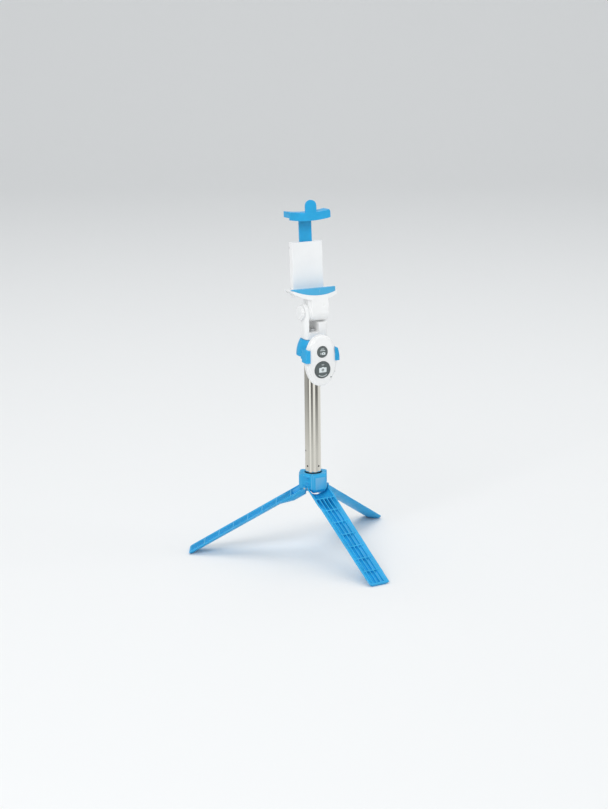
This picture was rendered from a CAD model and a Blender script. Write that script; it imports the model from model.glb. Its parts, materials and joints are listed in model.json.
import json
import math

import bmesh
import bpy
from mathutils import Matrix, Vector
from mathutils.bvhtree import BVHTree


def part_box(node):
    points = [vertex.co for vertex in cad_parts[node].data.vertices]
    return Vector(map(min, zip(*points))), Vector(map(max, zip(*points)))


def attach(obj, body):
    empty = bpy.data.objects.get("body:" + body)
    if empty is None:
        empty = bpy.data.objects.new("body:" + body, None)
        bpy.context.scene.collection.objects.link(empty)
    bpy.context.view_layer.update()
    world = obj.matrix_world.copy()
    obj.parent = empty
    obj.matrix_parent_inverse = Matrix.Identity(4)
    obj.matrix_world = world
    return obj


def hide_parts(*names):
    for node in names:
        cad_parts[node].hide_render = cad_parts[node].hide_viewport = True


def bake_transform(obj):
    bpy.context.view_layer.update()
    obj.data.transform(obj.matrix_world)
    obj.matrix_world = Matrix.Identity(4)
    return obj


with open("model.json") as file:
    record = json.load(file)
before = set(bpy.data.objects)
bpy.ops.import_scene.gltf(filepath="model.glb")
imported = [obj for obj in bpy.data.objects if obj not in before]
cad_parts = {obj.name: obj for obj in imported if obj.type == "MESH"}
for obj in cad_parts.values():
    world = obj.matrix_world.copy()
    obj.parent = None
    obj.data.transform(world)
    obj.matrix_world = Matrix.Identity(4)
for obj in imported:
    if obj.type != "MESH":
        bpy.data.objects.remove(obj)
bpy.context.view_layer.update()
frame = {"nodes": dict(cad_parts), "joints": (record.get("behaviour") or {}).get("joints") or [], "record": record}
NODES = frame["nodes"]
RECORD = frame["record"]
BODY_OF = {node: body for body, nodes in RECORD["behaviour"]["bodies"].items() for node in nodes}
SLOT_OF = {part["node"]: part["material_slot"] for part in RECORD["subparts"]}
MM = 0.001
VIEW_DIRECTION = (0.3770, 0.8908, -0.2537)
VIEW_AZIMUTH = -113.2   # where the camera stands, in degrees about the pole
SKY_STRENGTH = 0.63
FLOOR_GLOW = 0.78       # what the floor sends back


# ---------------------------------------------------------------- camera, floor and light

def add_camera():
    """The viewing point is 2 m away, to the left of the front and a little above the clamp."""
    forward = Vector(VIEW_DIRECTION).normalized()
    level = forward.cross(Vector((0, 0, 1))).normalized()
    above = level.cross(forward)
    roll = math.radians(-0.60)
    right = math.cos(roll) * level + math.sin(roll) * above
    up = math.cos(roll) * above - math.sin(roll) * level
    data = bpy.data.cameras.new("camera")
    data.lens = 96.15
    data.sensor_width = 36
    data.clip_end = 50
    camera = bpy.data.objects.new("camera", data)
    camera.matrix_world = Matrix.Translation((-0.7613, -1.7785, 0.6495)) @ Matrix((
        (right.x, up.x, -forward.x, 0),
        (right.y, up.y, -forward.y, 0),
        (right.z, up.z, -forward.z, 0),
        (0, 0, 0, 1),
    ))
    bpy.context.scene.collection.objects.link(camera)
    bpy.context.scene.camera = camera


def aim(obj, place, target):
    obj.location = place
    obj.rotation_euler = (Vector(target) - Vector(place)).to_track_quat("-Z", "Y").to_euler()


def add_light(name, place, size, watts, colour=(1, 1, 1), target=(0, 0, 0.16)):
    data = bpy.data.lights.new(name, "AREA")
    data.shape = "RECTANGLE"
    data.size, data.size_y = size
    data.energy = watts
    data.color = colour
    light = bpy.data.objects.new(name, data)
    aim(light, place, target)
    bpy.context.scene.collection.objects.link(light)


def add_sky():
    """Even pale light from all round."""
    world = bpy.data.worlds.new("studio")
    bpy.context.scene.world = world
    world.use_nodes = True
    back = world.node_tree.nodes["Background"]
    back.inputs["Color"].default_value = (0.86, 0.885, 0.895, 1)
    back.inputs["Strength"].default_value = SKY_STRENGTH


# brightness of the screens round the stand, by degrees to the right of the camera's direction
SCREENS = [(-180, 0.42), (-75, 0.40), (-58, 0.20), (-52, 0.24), (-46, 1.05), (-29, 1.10),
           (-22, 0.16), (2, 0.14), (9, 0.9), (34, 1.0), (41, 0.16), (76, 0.16), (86, 0.75),
           (180, 0.85)]
FOOT_SHARE = 0.24       # how much of their contrast is left at their foot
FADE_START, FADE_HEIGHT = 0.042, 0.065
SCREEN_BLUE = 0.965


def screen_light(angle, height):
    """The screens' brightness; they fade into the floor's own at their foot."""
    for (a, low), (b, high) in zip(SCREENS, SCREENS[1:]):
        if angle <= b:
            level = low + (high - low) * (angle - a) / (b - a)
            break
    share = FOOT_SHARE + (1 - FOOT_SHARE) * (height - FADE_START) / FADE_HEIGHT
    return FLOOR_GLOW + (level - FLOOR_GLOW) * min(1, max(FOOT_SHARE, share))


def add_screens():
    """A low ring of dark and pale screens round the stand, seen only in polished surfaces."""
    radius, top, rows, columns = 0.2, 0.17, 16, 240
    mesh = bpy.data.meshes.new("screens")
    places, tones, faces = [], [], []
    for row in range(rows + 1):
        for column in range(columns):
            angle = 360 * column / columns - 180
            turn = math.radians(angle + VIEW_AZIMUTH)
            height = top * row / rows
            places.append((radius * math.cos(turn), radius * math.sin(turn), height))
            tones.append(screen_light(angle, height))
    for row in range(rows):
        for column in range(columns):
            a, b = row * columns + column, row * columns + (column + 1) % columns
            faces.append((a, b, b + columns, a + columns))
    mesh.from_pydata(places, [], faces)
    tone = mesh.color_attributes.new("tone", "FLOAT_COLOR", "POINT")
    for vertex, level in zip(tone.data, tones):
        vertex.color = (level, level, SCREEN_BLUE * level, 1)
    glow = bpy.data.materials.new("screen_glow")
    glow.use_nodes = True
    tree = glow.node_tree
    tree.nodes.clear()
    colour = tree.nodes.new("ShaderNodeAttribute")
    colour.attribute_name = "tone"
    light = tree.nodes.new("ShaderNodeEmission")
    out = tree.nodes.new("ShaderNodeOutputMaterial")
    tree.links.new(colour.outputs["Color"], light.inputs["Color"])
    tree.links.new(light.outputs[0], out.inputs["Surface"])
    mesh.materials.append(glow)
    ring = bpy.data.objects.new("screens", mesh)
    bpy.context.scene.collection.objects.link(ring)
    ring.visible_camera = False
    ring.visible_diffuse = False
    ring.visible_shadow = False
    ring.visible_transmission = False


def add_floor():
    """A plain sweep: a level floor that curves up into a pale wall behind the stand."""
    mesh = bpy.data.meshes.new("floor")
    bm = bmesh.new()
    size, depth, bend, height = 6.0, 2.2, 1.2, 5.0
    profile = [(-size, 0.0), (depth, 0.0)]
    for step in range(1, 13):
        angle = math.pi / 2 * step / 12
        profile.append((depth + bend * math.sin(angle), bend * (1 - math.cos(angle))))
    profile.append((depth + bend, height))
    rows = []
    heading = math.atan2(VIEW_DIRECTION[1], VIEW_DIRECTION[0])
    for along, z in profile:
        row = []
        for side in (-size, size):
            x = along * math.cos(heading) - side * math.sin(heading)
            y = along * math.sin(heading) + side * math.cos(heading)
            row.append(bm.verts.new((x, y, z)))
        rows.append(row)
    for low, high in zip(rows, rows[1:]):
        bm.faces.new((low[0], low[1], high[1], high[0]))
    bmesh.ops.recalc_face_normals(bm, faces=bm.faces)
    bm.to_mesh(mesh)
    bm.free()
    mesh.shade_smooth()
    floor = bpy.data.objects.new("floor", mesh)
    bpy.context.scene.collection.objects.link(floor)
    paint = bpy.data.materials.new("floor_paper")
    paint.use_nodes = True
    shader = paint.node_tree.nodes["Principled BSDF"]
    shader.inputs["Base Color"].default_value = (0.86, 0.865, 0.87, 1)
    shader.inputs["Roughness"].default_value = 0.8
    shader.inputs["Specular IOR Level"].default_value = 0
    mesh.materials.append(paint)


# ---------------------------------------------------------------- materials

def shade(name, colour, roughness, metallic=0.0, coat=0.0, tint=0.06, grain=600, rough_spread=0.08,
          bump=0.02, bump_scale=2500, stretch=(1, 1, 1), specular=0.5, edge=0.25, transmission=0.0,
          sheen=0.0, coat_rough=0.12, subsurface=0.0):
    """A plastic, metal or rubber with uneven colour, uneven gloss, a fine grain and paler worn edges."""
    material = bpy.data.materials.new(name)
    material.use_nodes = True
    tree = material.node_tree
    link = tree.links.new
    shader = tree.nodes["Principled BSDF"]
    shader.inputs["Metallic"].default_value = metallic
    shader.inputs["Coat Weight"].default_value = coat
    shader.inputs["Coat Roughness"].default_value = coat_rough
    shader.inputs["Specular IOR Level"].default_value = specular
    shader.inputs["Transmission Weight"].default_value = transmission
    shader.inputs["Sheen Weight"].default_value = sheen
    if subsurface:
        shader.inputs["Subsurface Weight"].default_value = subsurface
        shader.inputs["Subsurface Radius"].default_value = (0.8, 0.8, 0.8)
        shader.inputs["Subsurface Scale"].default_value = 0.0012

    where = tree.nodes.new("ShaderNodeTexCoord")
    scale = tree.nodes.new("ShaderNodeMapping")
    scale.inputs["Scale"].default_value = stretch
    link(where.outputs["Object"], scale.inputs["Vector"])

    def cloud(size, detail=3):
        node = tree.nodes.new("ShaderNodeTexNoise")
        node.inputs["Scale"].default_value = size
        node.inputs["Detail"].default_value = detail
        link(scale.outputs["Vector"], node.inputs["Vector"])
        return node.outputs["Fac"]

    def ramp(fac, low, high):
        node = tree.nodes.new("ShaderNodeValToRGB")
        node.color_ramp.elements[0].position, node.color_ramp.elements[0].color = low
        node.color_ramp.elements[1].position, node.color_ramp.elements[1].color = high
        link(fac, node.inputs["Fac"])
        return node.outputs["Color"]

    def tone(level):
        return tuple(min(1.0, c * level) for c in colour) + (1,)

    base = ramp(cloud(grain * 0.12, 4), (0.35, tone(1 - tint)), (0.65, tone(1 + tint)))
    wear = tree.nodes.new("ShaderNodeNewGeometry").outputs["Pointiness"]
    edges = ramp(wear, (0.52, (0, 0, 0, 1)), (0.62, (edge, edge, edge, 1)))
    mix = tree.nodes.new("ShaderNodeMix")
    mix.data_type = "RGBA"
    mix.inputs["B"].default_value = tuple(0.55 * c + 0.45 for c in colour) + (1,)
    link(edges, mix.inputs["Factor"])
    link(base, mix.inputs["A"])
    link(mix.outputs["Result"], shader.inputs["Base Color"])

    gloss = tree.nodes.new("ShaderNodeMapRange")
    gloss.inputs["From Min"].default_value = 0.3
    gloss.inputs["From Max"].default_value = 0.7
    gloss.inputs["To Min"].default_value = max(0.02, roughness - rough_spread)
    gloss.inputs["To Max"].default_value = roughness + rough_spread
    link(cloud(grain * 0.5, 5), gloss.inputs["Value"])
    link(gloss.outputs["Result"], shader.inputs["Roughness"])

    relief = tree.nodes.new("ShaderNodeBump")
    relief.inputs["Strength"].default_value = 0.35
    relief.inputs["Distance"].default_value = bump * MM
    link(cloud(bump_scale, 2), relief.inputs["Height"])
    link(relief.outputs["Normal"], shader.inputs["Normal"])
    return material


def make_materials():
    blue = (0.012, 0.385, 0.735)
    return {
        "blue_plastic": shade("blue_plastic", blue, 0.42, coat=0.12, coat_rough=0.34, bump=0.02,
                              specular=0.4, subsurface=0.08, edge=0.3),
        "white_plastic": shade("white_plastic", (0.93, 0.932, 0.93), 0.34, coat=0.15,
                               coat_rough=0.2, tint=0.012, rough_spread=0.04, bump=0.006,
                               subsurface=0.1, edge=0.0),
        "white_gloss": shade("white_gloss", (0.95, 0.95, 0.945), 0.16, coat=0.6, coat_rough=0.04,
                             tint=0.01, rough_spread=0.03, bump=0.003, subsurface=0.1, edge=0.0),
        "polished_tube": shade("polished_tube", (0.80, 0.79, 0.745), 0.085, metallic=1, tint=0.04,
                               rough_spread=0.03, stretch=(1, 1, 0.04), grain=2500, bump=0.002,
                               bump_scale=9000, edge=0.1),
        "zinc_steel": shade("zinc_steel", (0.60, 0.61, 0.62), 0.30, metallic=1, grain=1500),
        "dark_steel": shade("dark_steel", (0.06, 0.055, 0.05), 0.35, metallic=0.6, grain=3000,
                            edge=0.0),
        "spring_steel": shade("spring_steel", (0.50, 0.50, 0.51), 0.28, metallic=1, grain=2500),
        "cell_steel": shade("cell_steel", (0.68, 0.68, 0.67), 0.22, metallic=1, grain=1500),
        "bronze": shade("bronze", (0.60, 0.38, 0.17), 0.28, metallic=1, grain=1500, tint=0.12),
        "brass": shade("brass", (0.72, 0.53, 0.24), 0.26, metallic=1, grain=1500, tint=0.1),
        "black_plastic": shade("black_plastic", (0.018, 0.018, 0.02), 0.45, tint=0.2, edge=0.05),
        "black_rubber": shade("black_rubber", (0.02, 0.02, 0.02), 0.72, tint=0.25, bump=0.05,
                              edge=0.04),
        "blue_rubber": shade("blue_rubber", (0.06, 0.42, 0.72), 0.55, tint=0.05, bump=0.06,
                             bump_scale=1800, sheen=0.1),
        "grey_rubber": shade("grey_rubber", (0.105, 0.125, 0.125), 0.5, tint=0.08, bump=0.05,
                             edge=0.05),
        "grey_plastic": shade("grey_plastic", (0.10, 0.12, 0.125), 0.4, edge=0.05),
        "board_green": shade("board_green", (0.015, 0.12, 0.045), 0.35, coat=0.4, tint=0.25),
        "clear_plastic": shade("clear_plastic", (0.78, 0.84, 0.88), 0.12, transmission=0.7,
                               tint=0.02),
        "icon_white": shade("icon_white", (0.72, 0.78, 0.79), 0.5, tint=0.04, edge=0.0),
    }


MATERIALS = make_materials()


# ---------------------------------------------------------------- mesh helpers

def link_piece(name, mesh, body, slot, paint=None):
    """A finished piece: it rides on a body and takes its finish from a slot."""
    piece = bpy.data.objects.new(name, mesh)
    bpy.context.scene.collection.objects.link(piece)
    mesh.materials.clear()
    mesh.materials.append(MATERIALS[paint or slot])
    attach(piece, body)
    return piece


def bake_modifiers(piece):
    """The piece's modifiers become part of its mesh."""
    bpy.context.view_layer.update()
    graph = bpy.context.evaluated_depsgraph_get()
    mesh = bpy.data.meshes.new_from_object(piece.evaluated_get(graph))
    old = piece.data
    piece.modifiers.clear()
    piece.data = mesh
    mesh.name = old.name
    bpy.data.meshes.remove(old)


def welded(node):
    """The CAD node's surface as a new mesh, with its flat faces whole."""
    source = NODES[node].data
    mesh = bpy.data.meshes.new(node + ".mesh")
    mesh.from_pydata([v.co[:] for v in source.vertices], [],
                     [p.vertices[:] for p in source.polygons])
    bm = bmesh.new()
    bm.from_mesh(mesh)
    bmesh.ops.remove_doubles(bm, verts=bm.verts, dist=2e-6)
    bmesh.ops.dissolve_degenerate(bm, edges=bm.edges, dist=2e-6)
    bmesh.ops.dissolve_limit(bm, angle_limit=math.radians(0.3), verts=bm.verts, edges=bm.edges)
    bm.to_mesh(mesh)
    bm.free()
    return mesh


def softened(node, voxel, rounds, keep=0.3, local=Matrix.Identity(4), name=None):
    """The node with every edge and inside corner rounded, as a mould leaves it.

    The surface is sampled again on a grid that lies along the part's own axes, and relaxed."""
    mesh = welded(node)
    mesh.transform(local.inverted())
    mesh.transform(Matrix.Scale(1 / MM, 4))
    piece = link_piece(name or node + ".moulded", mesh, BODY_OF[node], SLOT_OF[node])
    grid = piece.modifiers.new("grid", "REMESH")
    grid.mode = "VOXEL"
    grid.voxel_size = voxel
    relax = piece.modifiers.new("relax", "SMOOTH")
    relax.factor = 0.5
    relax.iterations = rounds
    thin = piece.modifiers.new("thin", "DECIMATE")
    thin.ratio = keep
    bake_modifiers(piece)
    piece.data.transform(Matrix.Scale(MM, 4))
    piece.data.transform(local)
    piece.data.shade_smooth()
    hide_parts(node)
    return piece


# ---------------------------------------------------------------- pieces

JOINTS = {joint["name"]: joint for joint in frame["joints"]}


def axes(x, z):
    """The turn that lays the X and Z axes along these two directions."""
    x, z = Vector(x).normalized(), Vector(z).normalized()
    return Matrix((x, z.cross(x), z)).transposed().to_4x4()


def leg_axes(k):
    fold = JOINTS[f"leg_{k}_fold"]
    across = -Vector(fold["axis"])
    slope = math.radians(fold["range_deg"][1] - 90)
    level = across.cross(Vector((0, 0, 1)))
    out = math.cos(slope) * level - math.sin(slope) * Vector((0, 0, 1))
    return axes(out, out.cross(across))


INWARD = Vector(JOINTS["shutter_press"]["axis"])
BASE_AXES = axes(INWARD.cross(Vector((0, 0, 1))), (0, 0, 1))
HUB_AXES = axes(Vector(JOINTS["leg_1_fold"]["axis"]), (0, 0, 1))
CLAMP_AXES = axes((1, 0, 0), JOINTS["jaw_slide"]["axis"])
STRAIGHT = Matrix.Identity(4)
STAKE_AZIMUTH, STAKE_HEIGHT, STAKE_RADIUS = -68.1, 84.2 * MM, 0.95 * MM
HOLE_AZIMUTH, HOLE_HEIGHT, HOLE_RADIUS = -179, 98.7 * MM, 0.85 * MM

# node: grid pitch in mm, rounds of relaxing, share of faces kept, the part's own axes
SOFTENED = {
    "hub": (0.18, 5, 0.3, HUB_AXES),
    "neck": (0.2, 8, 0.3, STRAIGHT),
    "clamp_base": (0.25, 6, 0.25, CLAMP_AXES),
    "lower_pad": (0.2, 6, 0.3, CLAMP_AXES),
    "back_cover": (0.2, 5, 0.25, CLAMP_AXES),
    "upper_jaw": (0.2, 8, 0.25, CLAMP_AXES),
    "upper_pad": (0.15, 4, 0.3, CLAMP_AXES),
    "remote_clip": (0.2, 6, 0.3, BASE_AXES),
    "remote_front": (0.16, 14, 0.3, BASE_AXES),
    "remote_back_shell": (0.16, 10, 0.3, BASE_AXES),
    "battery_door": (0.12, 4, 0.25, BASE_AXES),
    "tilt_knob": (0.12, 6, 0.3, STRAIGHT),
    "shutter_button": (0.13, 5, 0.25, BASE_AXES),
    "mode_button": (0.13, 5, 0.25, BASE_AXES),
}
LEG_GRID = (0.26, 4, 0.25)


def add_pieces():
    for node, (voxel, rounds, keep, local) in SOFTENED.items():
        softened(node, voxel, rounds, keep, local)
    for k in (1, 2, 3):
        softened(f"leg_{k}", *LEG_GRID, leg_axes(k))
    add_springs()
    add_icons()
    add_punch_marks()


def add_springs():
    """The jaw's springs: the tops stay in the clamp, the feet go with the sliding jaw."""
    for node in ("jaw_spring_left", "jaw_spring_right"):
        mesh = welded(node)
        mesh.materials.clear()
        mesh.materials.append(MATERIALS[SLOT_OF[node]])
        mesh.shade_smooth()
        spring = bpy.data.objects.new(node + ".wound", mesh)
        bpy.context.scene.collection.objects.link(spring)
        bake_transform(spring)
        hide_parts(node)


def arc(x, z, r, start, end, steps):
    """Points round a circle's part, from one angle to another."""
    turns = [math.radians(start + (end - start) * i / steps) for i in range(steps + 1)]
    return [(x + r * math.cos(a), z + r * math.sin(a)) for a in turns]


def ring_outline(x, z, r):
    return arc(x, z, r, 0, 360 * 35 / 36, 35)


def bar_outline(x, z, width, height):
    """A bar with round ends."""
    r, half = height / 2, (width - height) / 2
    return arc(x + half, z, r, -90, 90, 8) + arc(x - half, z, r, 90, 270, 8)


def band_outline(r, thick, start, end):
    """A curved bar about the button's middle."""
    return arc(0, 0, r + thick / 2, start, end, 20) + arc(0, 0, r - thick / 2, end, start, 20)


def camera_outline(x, z, size):
    """A plain camera from the front: a body with rounded corners and a hump on top."""
    points = []
    for px, pz, r, turn in ((3.0, -1.8, 0.6, -90), (3.0, 1.3, 0.6, 0), (-3.0, 1.3, 0.6, 90),
                            (-3.0, -1.8, 0.6, 180)):
        points += arc(px, pz, r, turn, turn + 90, 5)
        if turn == 0:
            points += [(1.3, 1.9), (0.9, 2.4), (-0.9, 2.4), (-1.3, 1.9)]
    return [(x + size * a, z + size * b) for a, b in points]


def surface_of(node):
    """The CAD node's surface, to drop points on."""
    skin = NODES[node].data
    return BVHTree.FromPolygons([v.co for v in skin.vertices],
                                [p.vertices for p in skin.polygons])


def add_icon(name, node, middle_z, shapes):
    """Pale printed shapes on a button, a hair proud of its domed face.

    Each shape is an outline and the outlines of its holes, in mm from the button's middle."""
    surface = surface_of(node)
    bm = bmesh.new()
    for outlines in shapes:
        edges = []
        for outline in outlines:
            loop = [bm.verts.new((x, 0, z)) for x, z in outline]
            edges += [bm.edges.new(pair) for pair in zip(loop, loop[1:] + loop[:1])]
        bmesh.ops.triangle_fill(bm, use_beauty=True, edges=edges)
    grown = bmesh.ops.extrude_face_region(bm, geom=bm.faces[:], use_keep_orig=True)
    for item in grown["geom"]:
        if isinstance(item, bmesh.types.BMVert):
            item.co.y = 0.12
    for vert in bm.verts:
        x, z = vert.co.x * MM, (middle_z + vert.co.z) * MM
        start = BASE_AXES @ Vector((x, -0.1, z))
        hit = surface.ray_cast(start, INWARD)[0]
        depth = (BASE_AXES.inverted() @ hit).y + (vert.co.y - 0.05) * MM
        vert.co = BASE_AXES @ Vector((x, depth, z))
    bmesh.ops.recalc_face_normals(bm, faces=bm.faces)
    mesh = bpy.data.meshes.new(name)
    bm.to_mesh(mesh)
    bm.free()
    link_piece(name, mesh, BODY_OF[node], SLOT_OF[node], "icon_white")


def button_middle(node):
    """The height of a button's middle, in mm."""
    low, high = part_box(node)
    return (low[2] + high[2]) / 2 / MM


def add_icons():
    middle = button_middle("shutter_button")
    add_icon("shutter_icon", "shutter_button", middle, [
        [camera_outline(0.1, 0.1, 1.05), ring_outline(0.1, -0.15, 1.25)],
        [ring_outline(0.1, -0.15, 0.6)],
        [bar_outline(0.1, 4.7, 2.6, 0.55)],
        [band_outline(6.1, 0.5, 228, 312)],
    ])
    middle = button_middle("mode_button")
    add_icon("mode_icon", "mode_button", middle, [
        [camera_outline(0.9, -1.5, 0.5), ring_outline(0.9, -1.6, 0.5)],
        [bar_outline(-1.9, -1.5, 0.8, 2.0)],
        [bar_outline(0, 1.3, 5.2, 0.55)],
        [bar_outline(0, 2.7, 3.4, 0.5)],
    ])


def add_punch_mark(name, azimuth, height, radius):
    """A small dark mark on the thickest pole section, where it was punched or drilled."""
    surface = surface_of("pole_1")
    out = Vector((math.cos(math.radians(azimuth)), math.sin(math.radians(azimuth)), 0))
    across = Vector((0, 0, 1)).cross(out)
    bm = bmesh.new()
    sides, rings = 20, ((0.0, 0.03), (0.45, 0.05), (0.8, 0.08), (1.0, 0.05), (1.06, -0.04))
    rows = []
    for share, proud in rings:
        row = []
        for i in range(sides if share else 1):
            turn = 2 * math.pi * i / sides
            offset = radius * share * (math.cos(turn) * across + math.sin(turn) * Vector((0, 0, 1)))
            start = 0.02 * out + Vector((0, 0, height)) + offset
            hit = surface.ray_cast(start, -out)[0]
            row.append(bm.verts.new(hit + proud * MM * out))
        rows.append(row)
    for i in range(sides):
        bm.faces.new((rows[0][0], rows[1][i], rows[1][(i + 1) % sides]))
        for low, high in zip(rows[1:], rows[2:]):
            k = (i + 1) % sides
            bm.faces.new((low[i], high[i], high[k], low[k]))
    mesh = bpy.data.meshes.new(name)
    bm.to_mesh(mesh)
    bm.free()
    mesh.shade_smooth()
    link_piece(name, mesh, BODY_OF["pole_1"], SLOT_OF["pole_1"], "dark_steel")


def add_punch_marks():
    for i in range(4):
        add_punch_mark(f"stake_{i + 1}", STAKE_AZIMUTH + 90 * i, STAKE_HEIGHT, STAKE_RADIUS)
    add_punch_mark("locating_hole", HOLE_AZIMUTH, HOLE_HEIGHT, HOLE_RADIUS)


def paint_nodes():
    """Every CAD node that stays gets its finish."""
    for node, obj in NODES.items():
        obj.data.materials.clear()
        obj.data.materials.append(MATERIALS[SLOT_OF[node]])


add_camera()
add_floor()
add_sky()
add_screens()
add_light("key", (-1.6, -1.5, 1.9), (1.4, 1.4), 29)
add_light("fill", (1.9, -1.1, 1.2), (1.2, 1.6), 8.5)
add_light("top", (0.1, 0.5, 2.2), (1.6, 1.6), 14.5)
paint_nodes()
add_pieces()
bpy.context.scene.view_settings.view_transform = "Standard"
